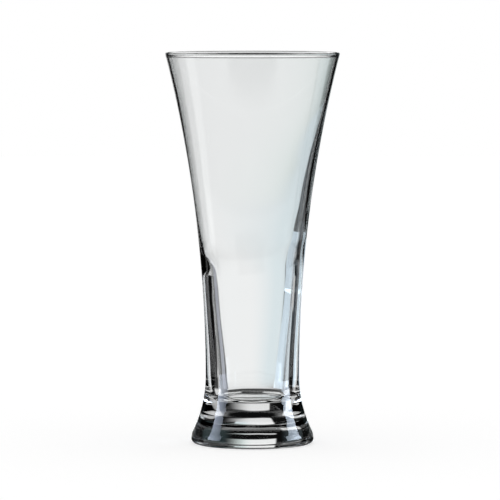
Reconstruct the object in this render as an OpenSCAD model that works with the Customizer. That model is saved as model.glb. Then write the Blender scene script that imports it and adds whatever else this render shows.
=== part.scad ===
// Pilsner glass: a tall flared drinking glass on a heavy flared foot.
// The real glass is one piece of clear pressed and blown soda-lime glass. It is held here as the
// four zones that a glassmaker names, which meet face to face on level planes:
// foot (solid base), shank (thick lower wall), bowl (thin flared wall) and rim (fire-polished bead).
// All lengths are millimetres. The origin is on the table, on the axis of the glass.

/* [Outside] */
// Overall height, from the table to the top of the rim
height = 180; // [150:1:220]
// Outside diameter across the rim bead
rim_d = 80.3; // [64:0.1:100]
// Outside diameter at the waist, the narrowest place
waist_d = 43.2; // [36:0.1:52]
// Height of the waist, where the foot ends and the shank begins
waist_z = 31.5; // [28:0.5:46]
// Outside diameter of the foot
foot_d = 56.5; // [50:0.1:72]

/* [Wall] */
// Wall thickness just under the rim bead
wall_top = 1.2; // [1:0.1:2]
// Wall thickness in the middle of the bowl
wall_bowl = 1.3; // [1:0.1:2.5]
// Height at which the wall has the thickness of the middle of the bowl
bowl_z = 125; // [116:1:150]
// Wall thickness at the top of the shoulder
wall_shoulder_top = 1.6; // [1.2:0.1:3.5]
// Height of the top of the shoulder, where the shank ends and the bowl begins
shoulder_top_z = 106; // [99:1:114]
// Wall thickness in the middle of the shoulder
wall_shoulder_mid = 2.4; // [1.6:0.1:4]
// Height of the middle of the shoulder
shoulder_mid_z = 92; // [88:1:97]
// Wall thickness at the bottom of the shoulder
wall_shoulder_low = 4.1; // [3:0.1:6]
// Height of the bottom of the shoulder
shoulder_low_z = 78; // [70:1:86]
// Wall thickness in the middle of the shank
wall_shank = 4.4; // [3:0.1:6]
// Height at which the wall has the thickness of the middle of the shank
shank_z = 60; // [50:1:68]
// Wall thickness at the waist
wall_waist = 6; // [3.5:0.1:8]

/* [Rim] */
// How far the rounded bead stands proud of each face of the wall
rim_proud = 0.15; // [0.05:0.05:0.5]

/* [Base] */
// Thickness of the solid glass under the drink
floor_z = 19; // [14:0.5:25]
// Radius of the round corner between the cavity's floor and its wall
floor_round = 4; // [2:0.5:8]
// Radius of the round lower edge of the foot, below its widest place
heel_round = 2.4; // [1.5:0.1:4]
// Radius of the gentler round above its widest place, which runs into the sweep up to the waist
heel_blend = 8; // [4:0.5:14]
// Width of the flat ring that the glass rests on
rest_w = 9; // [3:0.5:14]
// Height of the shallow hollow under the foot
punt_depth = 0.6; // [0.3:0.1:3]
// Radius of the round edge between the resting ring and the hollow
punt_round = 1.1; // [0.5:0.1:3]

/* [Hidden] */
$fn = 128;

// Number of straight steps that draw each curve of the outline
punt_steps = 20;
lip_steps = 8;
heel_steps = 12;
blend_steps = 10;
sweep_steps = 24;
corner_steps = 12;
shank_steps = 60;
bowl_steps = 80;

glass_colour = [0.86, 0.92, 0.92, 0.4];

waist_r = waist_d / 2;
foot_r = foot_d / 2;

// The bead is a ring of round section. Its lower chord is as wide as the wall that carries it.
bead_r = wall_top / 2 + rim_proud;
bead_ring_r = rim_d / 2 - bead_r;
bead_z = height - bead_r;
rim_z = bead_z - sqrt(pow(bead_r, 2) - pow(wall_top / 2, 2));
rim_out_r = bead_ring_r + wall_top / 2;

// Radius of an arc that starts upright and has moved out by "out" after rising by "rise"
function arc_radius(rise, out) = (pow(rise, 2) + pow(out, 2)) / (2 * out);
function mix(a, b, share) = a + (b - a) * share;

// Outside of the wall above the waist: one arc, upright at the waist, up to the bead
flare_r = arc_radius(rim_z - waist_z, rim_out_r - waist_r);
function outside_r(z) = waist_r + flare_r - sqrt(pow(flare_r, 2) - pow(z - waist_z, 2));

// Wall thickness: a smooth curve through the named heights, which never swings past a named thickness
wall_heights = [waist_z, shank_z, shoulder_low_z, shoulder_mid_z, shoulder_top_z, bowl_z, rim_z];
walls =
    [wall_waist, wall_shank, wall_shoulder_low, wall_shoulder_mid, wall_shoulder_top, wall_bowl, wall_top];
last = len(walls) - 1;
function steepness(i) = (walls[i + 1] - walls[i]) / (wall_heights[i + 1] - wall_heights[i]);
function shared_slope(a, b) = a * b <= 0 ? 0 : 2 * a * b / (a + b);
function slope(i) =
    i == 0 ? steepness(0)
    : i == last ? steepness(last - 1)
    : shared_slope(steepness(i - 1), steepness(i));
function span_at(z, i = 0) = i == last - 1 || z < wall_heights[i + 1] ? i : span_at(z, i + 1);
function cubic(i, span, share) =
    (2 * pow(share, 3) - 3 * pow(share, 2) + 1) * walls[i]
    + (pow(share, 3) - 2 * pow(share, 2) + share) * span * slope(i)
    + (3 * pow(share, 2) - 2 * pow(share, 3)) * walls[i + 1]
    + (pow(share, 3) - pow(share, 2)) * span * slope(i + 1);
function wall_at(z) =
    let (i = span_at(z), span = wall_heights[i + 1] - wall_heights[i])
    cubic(i, span, (z - wall_heights[i]) / span);
function inside_r(z) = outside_r(z) - wall_at(z);

// Inside of the cavity below the waist: straight, with the slope that the wall has there
cavity_waist_r = inside_r(waist_z);
cavity_slope = slope(0);
function cavity_r(z) = cavity_waist_r + cavity_slope * (waist_z - z);

// Arc of "steps" straight steps about a centre, from one angle to another
function arc(centre, radius, from, to, steps) = [
    for (i = [0 : steps])
        let (angle = mix(from, to, i / steps))
        centre + radius * [cos(angle), sin(angle)]
];

// Points up the outside of the wall between two heights, and down its inside
function up_outside(low, high, steps) =
    [for (i = [0 : steps]) let (z = mix(low, high, i / steps)) [outside_r(z), z]];
function down_inside(low, high, steps) =
    [for (i = [0 : steps]) let (z = mix(high, low, i / steps)) [inside_r(z), z]];

// Foot outline: the hollow below, its lip, the resting ring, the heel and its blend, and the sweep
rest_out_r = foot_r - heel_round;
rest_in_r = rest_out_r - rest_w;
punt_r = (pow(rest_in_r, 2) + pow(punt_depth, 2) - 2 * punt_round * punt_depth) / (2 * punt_depth);
punt_centre = [0, punt_depth - punt_r];
punt_edge_angle = asin((punt_round - punt_centre.y) / (punt_r + punt_round));
sweep_and_blend_r = arc_radius(waist_z - heel_round, foot_r - waist_r);
sweep_r = sweep_and_blend_r - heel_blend;
sweep_angle = asin((waist_z - heel_round) / sweep_and_blend_r);

// Cavity bottom: a flat floor and a round corner that runs into the straight wall
corner_tilt = atan(cavity_slope);
corner_z = floor_z + floor_round;
corner_r = cavity_r(corner_z) - floor_round / cos(corner_tilt);

foot_outline = concat(
    arc(punt_centre, punt_r, 90, punt_edge_angle, punt_steps),
    arc([rest_in_r, punt_round], punt_round, 180 + punt_edge_angle, 270, lip_steps),
    arc([rest_out_r, heel_round], heel_round, -90, 0, heel_steps),
    arc([foot_r - heel_blend, heel_round], heel_blend, 0, sweep_angle, blend_steps),
    arc([waist_r + sweep_r, waist_z], sweep_r, 180 + sweep_angle, 180, sweep_steps),
    [[cavity_waist_r, waist_z]],
    arc([corner_r, corner_z], floor_round, corner_tilt, -90, corner_steps),
    [[0, floor_z]]
);
shank_outline = concat(
    up_outside(waist_z, shoulder_top_z, shank_steps),
    down_inside(waist_z, shoulder_top_z, shank_steps)
);
bowl_outline = concat(
    up_outside(shoulder_top_z, rim_z, bowl_steps),
    down_inside(shoulder_top_z, rim_z, bowl_steps)
);

// Solid base with the hollow under it and the rounded bottom of the cavity in it
module foot() {
    color(glass_colour) rotate_extrude() polygon(foot_outline);
}

// Thick lower wall, from the waist up through the shoulder
module shank() {
    color(glass_colour) rotate_extrude() polygon(shank_outline);
}

// Thin flared wall, from the shoulder to the bead
module bowl() {
    color(glass_colour) rotate_extrude() polygon(bowl_outline);
}

// Rounded bead that closes the top of the wall
module rim() {
    color(glass_colour)
    rotate_extrude()
    intersection() {
        translate([bead_ring_r, bead_z]) circle(r = bead_r);
        translate([bead_ring_r - bead_r, rim_z]) square([2 * bead_r, height - rim_z]);
    }
}

foot();
shank();
bowl();
rim();
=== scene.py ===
"""Looks of a clear pilsner glass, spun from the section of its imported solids, in a plain white studio."""

import logging
import math
from dataclasses import dataclass
from enum import Enum
from typing import Any

import bmesh
import bpy
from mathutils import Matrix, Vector, noise


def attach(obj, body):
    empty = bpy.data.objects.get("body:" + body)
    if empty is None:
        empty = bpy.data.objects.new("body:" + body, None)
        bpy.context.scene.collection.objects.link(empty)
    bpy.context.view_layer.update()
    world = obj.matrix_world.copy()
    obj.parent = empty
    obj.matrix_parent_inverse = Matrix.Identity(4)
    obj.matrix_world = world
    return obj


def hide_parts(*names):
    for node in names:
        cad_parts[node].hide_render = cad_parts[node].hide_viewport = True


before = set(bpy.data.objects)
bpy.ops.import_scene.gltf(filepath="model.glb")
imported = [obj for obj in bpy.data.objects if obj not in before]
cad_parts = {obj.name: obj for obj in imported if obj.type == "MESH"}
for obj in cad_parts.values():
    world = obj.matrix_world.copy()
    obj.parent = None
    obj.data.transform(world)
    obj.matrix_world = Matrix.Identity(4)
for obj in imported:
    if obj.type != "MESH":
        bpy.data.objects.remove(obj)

LOG = logging.getLogger("pilsner_glass")
MM = 0.001
BODY = "root"
PHOTO_PIXELS = 500


class Ray(Enum):
    """Kinds of ray that the studio tells apart, by the names of the Light Path outputs."""

    CAMERA = "Is Camera Ray"
    GLOSSY = "Is Glossy Ray"
    TRANSMISSION = "Is Transmission Ray"


def linear(hex_colour: str) -> tuple[float, float, float, float]:
    """Turn an sRGB hex colour into linear RGBA.

    Args:
        hex_colour: A colour such as "#E8F0EE".

    Returns:
        The linear red, green and blue, with an alpha of 1.
    """
    channels = [int(hex_colour[i:i + 2], 16) / 255 for i in (1, 3, 5)]
    low = [c / 12.92 if c <= 0.04045 else ((c + 0.055) / 1.055) ** 2.4 for c in channels]
    return (low[0], low[1], low[2], 1.0)


def add_node(tree: bpy.types.NodeTree, kind: str, inputs: dict[Any, Any] | None = None,
             **settings: Any) -> bpy.types.Node:
    """Add a node, set it up and link what feeds it.

    Args:
        tree: The node tree that gets the node.
        kind: The node's type name.
        inputs: Socket name or number to a plain value, or to the output socket that feeds it.
        **settings: Properties of the node.

    Returns:
        The new node.
    """
    node = tree.nodes.new(kind)
    for name, value in settings.items():
        setattr(node, name, value)
    for key, value in (inputs or {}).items():
        if isinstance(value, bpy.types.NodeSocket):
            tree.links.new(value, node.inputs[key])
        else:
            node.inputs[key].default_value = value
    return node


@dataclass(frozen=True)
class ClearSodaLimeGlass:
    """Clear soda-lime glass, pressed and blown, then fire-polished: full gloss and hardly any colour.

    Fields:
        tint: Colour that the surface passes, close to white.
        ior: Refractive index of soda-lime glass.
        roughness: Fire-polishing leaves none.
    """

    name: str = "clear_soda_lime_glass_fire_polished"
    tint: str = "#FDFEFE"
    ior: float = 1.52
    roughness: float = 0.0

    def material(self) -> bpy.types.Material:
        """Build the glass as a node material.

        Returns:
            The material.
        """
        material = bpy.data.materials.new(self.name)
        material.use_nodes = True
        tree = material.node_tree
        shader = tree.nodes["Principled BSDF"]
        shader.inputs["Base Color"].default_value = linear(self.tint)
        shader.inputs["IOR"].default_value = self.ior
        shader.inputs["Roughness"].default_value = self.roughness
        shader.inputs["Transmission Weight"].default_value = 1.0
        return material


@dataclass(frozen=True)
class Unevenness:
    """Small faults of a glass that is pressed and blown: a shoulder that leans and a faint ripple.

    Fields:
        lean: How much higher the cavity's shoulder stands on the right, and lower on the left.
        lean_in: Heights between which the lean comes in.
        lean_out: Heights between which it goes out again.
        ripple: Depth of the ripple.
        ripple_length: Length of its waves along each axis, shortest in height.
        ripple_from: Height at which the ripple begins, above the heel.
        ripple_to: Height at which it ends, at the waist.
        ripple_fade: Height over which it comes in and goes out.
    """

    lean: float = 5 * MM
    lean_in: tuple[float, float] = (70 * MM, 100 * MM)
    lean_out: tuple[float, float] = (110 * MM, 160 * MM)
    ripple: float = 0.04 * MM
    ripple_length: tuple[float, float, float] = (7 * MM, 7 * MM, 3 * MM)
    ripple_from: float = 5 * MM
    ripple_to: float = 31 * MM
    ripple_fade: float = 4 * MM

    @staticmethod
    def step(low: float, high: float, value: float) -> float:
        """Rise smoothly from 0 to 1 between two heights.

        Args:
            low: Height up to which the result is 0.
            high: Height from which it is 1.
            value: The height asked about.

        Returns:
            A number from 0 to 1.
        """
        share = min(max((value - low) / (high - low), 0.0), 1.0)
        return share * share * (3.0 - 2.0 * share)

    def shift(self, point: Vector, normal: Vector) -> Vector:
        """Tell how far a point of the perfect glass moves.

        Args:
            point: The point.
            normal: Outward direction of the surface there.

        Returns:
            The move.
        """
        out = Vector((point.x, point.y, 0.0))
        if out.length < self.ripple:
            return Vector()
        out.normalize()
        move = Vector()
        if normal.dot(out) < 0.0:
            there = self.step(*self.lean_in, point.z) * (1.0 - self.step(*self.lean_out, point.z))
            move.z = self.lean * out.x * there
        near = self.step(self.ripple_from, self.ripple_from + self.ripple_fade, point.z)
        far = 1.0 - self.step(self.ripple_to - self.ripple_fade, self.ripple_to, point.z)
        place = Vector([p / length for p, length in zip(point, self.ripple_length)])
        return move + normal * (self.ripple * near * far * noise.noise(place))


@dataclass
class GlassBody:
    """The one piece of glass, spun from the section of the four solids that stand for its zones.

    Fields:
        nodes: The zones, from the foot to the rim.
        unevenness: The small faults of the glass.
        spin_steps: Number of facets round the axis.
        merge: Distance under which points of the section are one.
    """

    nodes: tuple[str, ...] = ("foot", "shank", "bowl", "rim")
    unevenness: Unevenness = Unevenness()
    spin_steps: int = 180
    merge: float = 0.001 * MM

    def section(self) -> bmesh.types.BMesh:
        """Cut the solids along the XZ plane and keep the half outline on the +X side.

        Returns:
            A bmesh that holds one open chain of edges, from the cavity's floor to the hollow under the foot.
        """
        chain = bmesh.new()
        for node in self.nodes:
            chain.from_mesh(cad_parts[node].data)
        bmesh.ops.remove_doubles(chain, verts=chain.verts[:], dist=self.merge)
        bmesh.ops.bisect_plane(chain, geom=chain.verts[:] + chain.edges[:] + chain.faces[:], dist=self.merge,
                               plane_co=(0, 0, 0), plane_no=(0, 1, 0), clear_inner=True, clear_outer=True)
        bmesh.ops.bisect_plane(chain, geom=chain.verts[:] + chain.edges[:], dist=self.merge,
                               plane_co=(0, 0, 0), plane_no=(-1, 0, 0), clear_outer=True)
        bmesh.ops.remove_doubles(chain, verts=chain.verts[:], dist=self.merge)
        # Where two zones meet, their common face leaves one edge across the wall.
        # Both its ends carry three edges.
        across = [e for e in chain.edges if all(len(v.link_edges) == 3 for v in e.verts)]
        bmesh.ops.delete(chain, geom=across, context="EDGES_FACES")
        return chain

    def build(self) -> bpy.types.Object:
        """Spin the section into one closed, smooth piece.

        Returns:
            The glass, at the origin.
        """
        bm = self.section()
        bmesh.ops.spin(bm, geom=bm.verts[:] + bm.edges[:], cent=(0, 0, 0), axis=(0, 0, 1), dvec=(0, 0, 0),
                       angle=math.tau, steps=self.spin_steps, use_merge=True, use_duplicate=False)
        bmesh.ops.remove_doubles(bm, verts=bm.verts[:], dist=self.merge)
        bmesh.ops.recalc_face_normals(bm, faces=bm.faces[:])
        bm.normal_update()
        moves = [self.unevenness.shift(v.co, v.normal) for v in bm.verts]
        for vertex, move in zip(bm.verts, moves):
            vertex.co += move
        for face in bm.faces:
            face.smooth = True
        mesh = bpy.data.meshes.new("glass_body")
        bm.to_mesh(mesh)
        bm.free()
        piece = bpy.data.objects.new("glass_body", mesh)
        bpy.context.scene.collection.objects.link(piece)
        return piece

    def dress(self, piece: bpy.types.Object, finish: ClearSodaLimeGlass) -> None:
        """Give the glass its finish and its place in the frame.

        Args:
            piece: The spun glass.
            finish: The glass that it is made of.
        """
        piece.data.materials.append(finish.material())
        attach(piece, BODY)
        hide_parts(*self.nodes)


@dataclass(frozen=True)
class Span:
    """A stretch of directions, in degrees, with a soft edge at each end.

    Fields:
        low: Middle of the soft edge at the lower end.
        high: Middle of the soft edge at the higher end.
        low_fade: Width of the soft edge at the lower end.
        high_fade: Width of the soft edge at the higher end.
    """

    low: float
    high: float
    low_fade: float = 2.0
    high_fade: float = 2.0

    @property
    def middle(self) -> float:
        """Middle of the stretch."""
        return (self.low + self.high) / 2

    def share(self, tree: bpy.types.NodeTree, offset: bpy.types.NodeSocket) -> bpy.types.NodeSocket:
        """Add the nodes that tell whether a direction lies on the stretch.

        Args:
            tree: The world's node tree.
            offset: Degrees from the middle of the stretch.

        Returns:
            1 on the stretch, 0 off it.
        """
        half = (self.high - self.low) / 2
        past_low = add_node(tree, "ShaderNodeMapRange", {
            "Value": offset, "From Min": -half - self.low_fade / 2, "From Max": -half + self.low_fade / 2},
            interpolation_type="SMOOTHSTEP")
        before_high = add_node(tree, "ShaderNodeMapRange", {
            "Value": offset, "From Min": half - self.high_fade / 2, "From Max": half + self.high_fade / 2,
            "To Min": 1.0, "To Max": 0.0}, interpolation_type="SMOOTHSTEP")
        both = add_node(tree, "ShaderNodeMath", {
            0: past_low.outputs["Result"], 1: before_high.outputs["Result"]}, operation="MULTIPLY")
        return both.outputs[0]


@dataclass(frozen=True)
class Card:
    """A far, evenly lit card of the studio, which the glass shows and the camera does not see.

    Fields:
        name: What it is.
        round: Degrees round from straight behind the glass, to the right where positive.
        rise: Degrees up from level.
        level: Brightness, where 1 is white.
        colour: Its colour.
    """

    name: str
    round: Span
    rise: Span
    level: float
    colour: str = "#FFFFFF"

    def light(self, tree: bpy.types.NodeTree, azimuth: bpy.types.NodeSocket,
              elevation: bpy.types.NodeSocket) -> bpy.types.NodeSocket:
        """Add the nodes that tell how much light comes from the card.

        Args:
            tree: The world's node tree.
            azimuth: Degrees round of the direction looked at.
            elevation: Degrees up of the direction looked at.

        Returns:
            The colour of the light, black off the card.
        """
        turn = add_node(tree, "ShaderNodeMath", {0: azimuth, 1: self.round.middle}, operation="SUBTRACT")
        short_turn = add_node(tree, "ShaderNodeMath", {
            0: turn.outputs[0], 1: 180.0, 2: -180.0}, operation="WRAP")
        lift = add_node(tree, "ShaderNodeMath", {0: elevation, 1: self.rise.middle}, operation="SUBTRACT")
        share = add_node(tree, "ShaderNodeMath", {
            0: self.round.share(tree, short_turn.outputs[0]), 1: self.rise.share(tree, lift.outputs[0])},
            operation="MULTIPLY")
        full = [c * self.level for c in linear(self.colour)[:3]]
        lit = add_node(tree, "ShaderNodeVectorMath", {0: full, "Scale": share.outputs[0]}, operation="SCALE")
        lit.label = self.name
        return lit.outputs["Vector"]


@dataclass(frozen=True)
class Softbox:
    """A small softbox close to the glass, which only the glass shows.

    Fields:
        name: What it is.
        azimuth: Degrees round from straight behind the glass, to the right where positive.
        distance: From the axis of the glass.
        height: Of its middle above the table.
        width: From side to side.
        length: From bottom to top.
        watts: Power of its lamp.
        turned: Degrees that it is turned from facing the axis, clockwise as seen from above.
        tilted: Degrees that it looks down.
        leaned: Degrees that its top leans to the right, as seen from the glass.
        spread: Degrees over which its light fans out. Under 180 a grid narrows it.
        colour: Colour of its light.
    """

    name: str
    azimuth: float
    distance: float
    height: float
    width: float
    length: float
    watts: float
    turned: float = 0.0
    tilted: float = 0.0
    leaned: float = 0.0
    spread: float = 180.0
    colour: str = "#FFFFFF"

    def build(self) -> bpy.types.Object:
        """Build the lamp and turn it to the glass.

        Returns:
            The lamp, unseen by the camera and by the floor.
        """
        data = bpy.data.lights.new(self.name, "AREA")
        data.shape = "RECTANGLE"
        data.size = self.width
        data.size_y = self.length
        data.spread = math.radians(self.spread)
        data.energy = self.watts
        data.color = linear(self.colour)[:3]
        lamp = bpy.data.objects.new(self.name, data)
        turn = math.radians(self.azimuth)
        lamp.location = (self.distance * math.sin(turn), self.distance * math.cos(turn), self.height)
        face = turn + math.radians(self.turned)
        lamp.rotation_euler = (math.radians(90.0 - self.tilted), -math.radians(self.leaned), math.pi - face)
        lamp.visible_camera = False
        lamp.visible_diffuse = False
        bpy.context.scene.collection.objects.link(lamp)
        return lamp


@dataclass
class Studio:
    """Plain white ground and soft light. Dark gaps between the cards draw the edges of the glass.

    Fields:
        cards: The far cards round the glass.
        softboxes: The lamps close to it.
        gap_level: Brightness of the gaps between the cards.
        room_level: Brightness of the room's plain light.
        floor_radius: Radius of the floor.
        floor_sides: Number of straight sides that draw its edge.
        paper: Colour of the floor.
        paper_lift: Light that the camera sees the floor give, so that it is white beside the shadow.
    """

    cards: tuple[Card, ...] = (
        # Behind the glass
        Card("back_card", Span(-15.0, 3.0, 2.0, 8.0), Span(-16.0, 5.5, 14.0, 2.0), 0.9),
        Card("back_right_card", Span(3.0, 10.0, 8.0, 18.0), Span(-4.5, 5.5, 1.0, 2.0), 0.95, "#EAF4F2"),
        Card("low_right_card", Span(3.0, 12.0, 8.0, 1.5), Span(-16.0, -4.5, 14.0, 1.0), 0.87, "#E8F4F8"),
        Card("table_behind", Span(-15.0, 12.0, 2.0, 24.0), Span(-27.5, -16.0, 2.0, 14.0), 0.8),
        Card("high_back_card", Span(-25.0, 25.0), Span(20.0, 70.0, 6.0, 6.0), 0.25),
        Card("left_high_card", Span(-45.0, -22.0), Span(14.0, 30.0), 0.6),
        # Narrow cards and the table at the sides, with dark gaps between them
        Card("left_slit", Span(-60.0, -53.0), Span(-9.5, -4.5, 1.0, 1.0), 0.4),
        Card("right_slit", Span(46.0, 57.0), Span(-9.5, -4.5, 1.0, 1.0), 0.6),
        Card("left_low_card", Span(-92.0, -56.0, 8.0, 2.0), Span(-14.0, -9.5, 1.0, 1.0), 0.6),
        Card("table_left", Span(-92.0, -58.0, 8.0, 4.0), Span(-26.0, -14.0, 4.0, 1.0), 0.5),
        Card("table_left_back", Span(-70.0, -36.0, 4.0, 4.0), Span(-46.0, -22.0, 6.0, 2.0), 0.68),
        Card("right_low_card", Span(50.0, 72.0), Span(-14.0, -9.5, 1.0, 1.0), 0.8, "#E4EEF4"),
        Card("table_right", Span(50.0, 72.0), Span(-20.0, -14.0, 2.0, 1.0), 0.8, "#E4EEF4"),
        Card("table_right_back", Span(36.0, 70.0, 4.0, 4.0), Span(-46.0, -22.0, 6.0, 2.0), 0.5),
        # Beside, in front and below, which mostly other views look through
        Card("room_front", Span(75.0, 285.0, 6.0, 6.0), Span(-27.0, 6.0, 4.0, 4.0), 0.75),
        Card("table_front_right", Span(75.0, 145.0, 6.0, 10.0), Span(-50.0, -27.0, 4.0, 4.0), 0.75),
        Card("table_front_left", Span(-145.0, -75.0, 10.0, 6.0), Span(-50.0, -27.0, 4.0, 4.0), 0.75),
        Card("table_below", Span(-110.0, 110.0, 20.0, 20.0), Span(-95.0, -62.0, 2.0, 4.0), 0.8),
        # Dim walls at the back
        Card("right_back_wall", Span(16.0, 42.0, 8.0, 4.0), Span(2.0, 20.0), 0.06, "#A9CDD2"),
        Card("left_back_wall", Span(-42.0, -22.0, 4.0, 8.0), Span(2.0, 12.0), 0.06, "#C4DCE6"),
    )
    softboxes: tuple[Softbox, ...] = (
        Softbox("left_softbox", azimuth=-119.0, distance=58 * MM, height=19 * MM,
                width=25 * MM, length=22 * MM,
                turned=29.0, tilted=12.0, spread=70.0, watts=0.0021, colour="#CFDBF0"),
        Softbox("right_softbox", azimuth=113.0, distance=57 * MM, height=18 * MM,
                width=30 * MM, length=20 * MM,
                turned=-27.0, tilted=12.0, spread=70.0, watts=0.0034, colour="#D4E2F2"),
        Softbox("right_shank_box", azimuth=42.8, distance=39 * MM, height=42 * MM,
                width=15 * MM, length=52 * MM,
                turned=-22.0, tilted=-9.0, leaned=5.5, spread=60.0, watts=0.00023, colour="#E0F2FF"),
        Softbox("right_bend_box", azimuth=47.3, distance=41 * MM, height=79 * MM,
                width=14 * MM, length=26 * MM,
                turned=-26.0, tilted=-7.0, leaned=10.0, spread=60.0, watts=0.0001, colour="#E0F2FF"),
        Softbox("left_shank_box", azimuth=-43.0, distance=39 * MM, height=47 * MM,
                width=6 * MM, length=62 * MM,
                turned=20.0, tilted=-9.0, leaned=-3.0, spread=60.0, watts=0.00005, colour="#D6DAEC"),
        Softbox("rim_box", azimuth=0.0, distance=100 * MM, height=239 * MM,
                width=120 * MM, length=62 * MM,
                watts=0.026),
    )
    gap_level: float = 0.004
    room_level: float = 0.6
    floor_radius: float = 3.0
    floor_sides: int = 96
    paper: str = "#D8D8D8"
    paper_lift: float = 0.6

    def world(self) -> bpy.types.World:
        """Build the world: white to the camera, cards to the glass, plain light to all else.

        Returns:
            The world, in use by the scene.
        """
        world = bpy.data.worlds.new("white_studio")
        world.use_nodes = True
        tree = world.node_tree
        tree.nodes.clear()
        direction = add_node(tree, "ShaderNodeTexCoord")
        axes = add_node(tree, "ShaderNodeSeparateXYZ", {0: direction.outputs["Generated"]})
        turn = add_node(tree, "ShaderNodeMath", {
            0: axes.outputs["X"], 1: axes.outputs["Y"]}, operation="ARCTAN2")
        azimuth = add_node(tree, "ShaderNodeMath", {0: turn.outputs[0]}, operation="DEGREES")
        rise = add_node(tree, "ShaderNodeMath", {0: axes.outputs["Z"]}, operation="ARCSINE")
        elevation = add_node(tree, "ShaderNodeMath", {0: rise.outputs[0]}, operation="DEGREES")
        total = add_node(tree, "ShaderNodeVectorMath", {0: [self.gap_level] * 3}, operation="ADD")
        for card in self.cards:
            lit = card.light(tree, azimuth.outputs[0], elevation.outputs[0])
            total = add_node(tree, "ShaderNodeVectorMath", {
                0: total.outputs["Vector"], 1: lit}, operation="ADD")
        cards_light = add_node(tree, "ShaderNodeBackground", {"Color": total.outputs["Vector"]})
        ground_light = add_node(tree, "ShaderNodeBackground", {"Color": linear("#FFFFFF"), "Strength": 1.0})
        room_light = add_node(tree, "ShaderNodeBackground", {
            "Color": linear("#FFFFFF"), "Strength": self.room_level})
        path = add_node(tree, "ShaderNodeLightPath")
        glass_ray = add_node(tree, "ShaderNodeMath", {
            0: path.outputs[Ray.GLOSSY.value], 1: path.outputs[Ray.TRANSMISSION.value]}, operation="MAXIMUM")
        to_glass = add_node(tree, "ShaderNodeMixShader", {
            0: glass_ray.outputs[0], 1: room_light.outputs[0], 2: cards_light.outputs[0]})
        to_camera = add_node(tree, "ShaderNodeMixShader", {
            0: path.outputs[Ray.CAMERA.value], 1: to_glass.outputs[0], 2: ground_light.outputs[0]})
        add_node(tree, "ShaderNodeOutputWorld", {"Surface": to_camera.outputs[0]})
        bpy.context.scene.world = world
        return world

    def floor(self) -> bpy.types.Object:
        """Build the floor: white to the camera, with the shadow of the glass on it.

        Returns:
            The floor.
        """
        bm = bmesh.new()
        bmesh.ops.create_circle(bm, cap_ends=True, segments=self.floor_sides, radius=self.floor_radius)
        mesh = bpy.data.meshes.new("floor")
        bm.to_mesh(mesh)
        bm.free()
        floor = bpy.data.objects.new("floor", mesh)
        bpy.context.scene.collection.objects.link(floor)
        material = bpy.data.materials.new("white_paper_floor")
        material.use_nodes = True
        tree = material.node_tree
        tree.nodes.clear()
        paper = add_node(tree, "ShaderNodeBsdfDiffuse", {"Color": linear(self.paper)})
        lift = add_node(tree, "ShaderNodeEmission", {"Color": linear("#FFFFFF"), "Strength": self.paper_lift})
        path = add_node(tree, "ShaderNodeLightPath")
        dark = add_node(tree, "ShaderNodeEmission", {"Strength": 0.0})
        glow = add_node(tree, "ShaderNodeMixShader", {
            0: path.outputs[Ray.CAMERA.value], 1: dark.outputs[0], 2: lift.outputs[0]})
        both = add_node(tree, "ShaderNodeAddShader", {0: paper.outputs[0], 1: glow.outputs[0]})
        add_node(tree, "ShaderNodeOutputMaterial", {"Surface": both.outputs[0]})
        floor.data.materials.append(material)
        floor.visible_transmission = False
        floor.visible_glossy = False
        return floor


@dataclass
class PhotoCamera:
    """Camera at the photo's place: far off, a little above the rim.

    Fields:
        distance: From the axis of the glass, along -Y.
        height: Above the table.
        aim: Point that lies in the middle of the picture.
        focal_pixels: Focal length in pixels of the photo.
        sensor: Width of the sensor in millimetres.
    """

    distance: float = 1900 * MM
    height: float = 216 * MM
    aim: tuple[float, float, float] = (-1.1 * MM, 0.0, 89.2 * MM)
    focal_pixels: float = 4141.0
    sensor: float = 36.0

    def build(self) -> bpy.types.Object:
        """Build the camera and make it the scene's own.

        Returns:
            The camera.
        """
        data = bpy.data.cameras.new("photo_camera")
        data.sensor_width = self.sensor
        data.lens = self.sensor * self.focal_pixels / PHOTO_PIXELS
        camera = bpy.data.objects.new("photo_camera", data)
        camera.location = (0.0, -self.distance, self.height)
        camera.rotation_euler = (Vector(self.aim) - camera.location).to_track_quat("-Z", "Y").to_euler()
        bpy.context.scene.collection.objects.link(camera)
        bpy.context.scene.camera = camera
        return camera


def main() -> None:
    """Build the camera, the glass and the studio, and report the glass and the floor."""
    logging.basicConfig(level=logging.INFO, format="%(name)s: %(message)s")
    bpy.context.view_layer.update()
    bpy.context.scene.view_settings.view_transform = "Standard"
    PhotoCamera().build()
    glass = GlassBody()
    piece = glass.build()
    glass.dress(piece, ClearSodaLimeGlass())
    LOG.info("%s: %d faces for %s", piece.name, len(piece.data.polygons), ", ".join(glass.nodes))
    studio = Studio()
    studio.world()
    for softbox in studio.softboxes:
        softbox.build()
    floor = studio.floor()
    LOG.info("%s: stage", floor.name)


if __name__ == "__main__":
    main()
